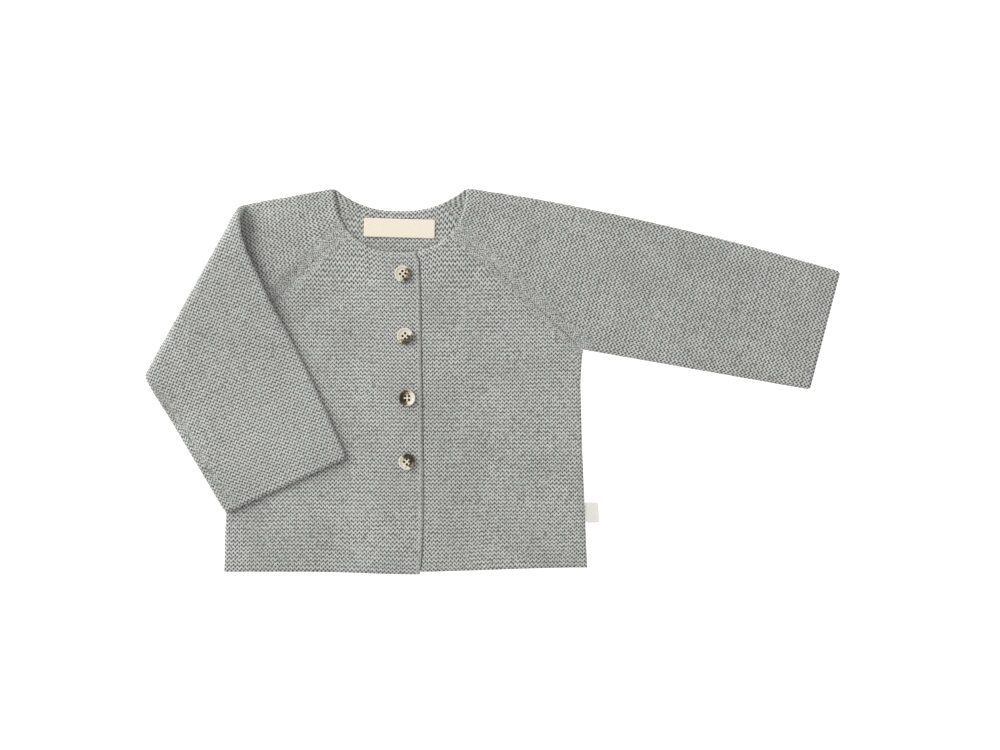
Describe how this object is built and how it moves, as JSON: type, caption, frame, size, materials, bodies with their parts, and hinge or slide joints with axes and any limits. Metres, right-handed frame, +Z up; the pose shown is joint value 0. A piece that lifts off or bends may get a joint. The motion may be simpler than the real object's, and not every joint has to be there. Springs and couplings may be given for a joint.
{
  "type": "baby cardigan",
  "caption": "Laid-flat baby cardigan in garter stitch: raglan sleeves, one folded over the buttoned front, and a plain label and tag.",
  "frame": {"origin": "centre of the bounding box, on the surface that the cardigan lies on", "axes": "+X toward the wearer's left sleeve, +Y from the hem to the neck, +Z up from the surface through the front"},
  "size_m": [0.5182, 0.2874, 0.0143],
  "materials": {
    "knit": "soft grey wool in fine garter stitch, matt with a light halo",
    "horn": "polished horn look, cream mottled with dark brown",
    "ribbon": "cream woven cotton ribbon, matt"
  },
  "bodies": {
    "root": {"back": "knit", "front_right": "knit", "front_left": "knit", "sleeve_left": "knit", "sleeve_right": "knit", "button_1": "horn", "button_2": "horn", "button_3": "horn", "button_4": "horn", "neck_label": "ribbon", "side_tag": "ribbon"}
  },
  "joints": []
}
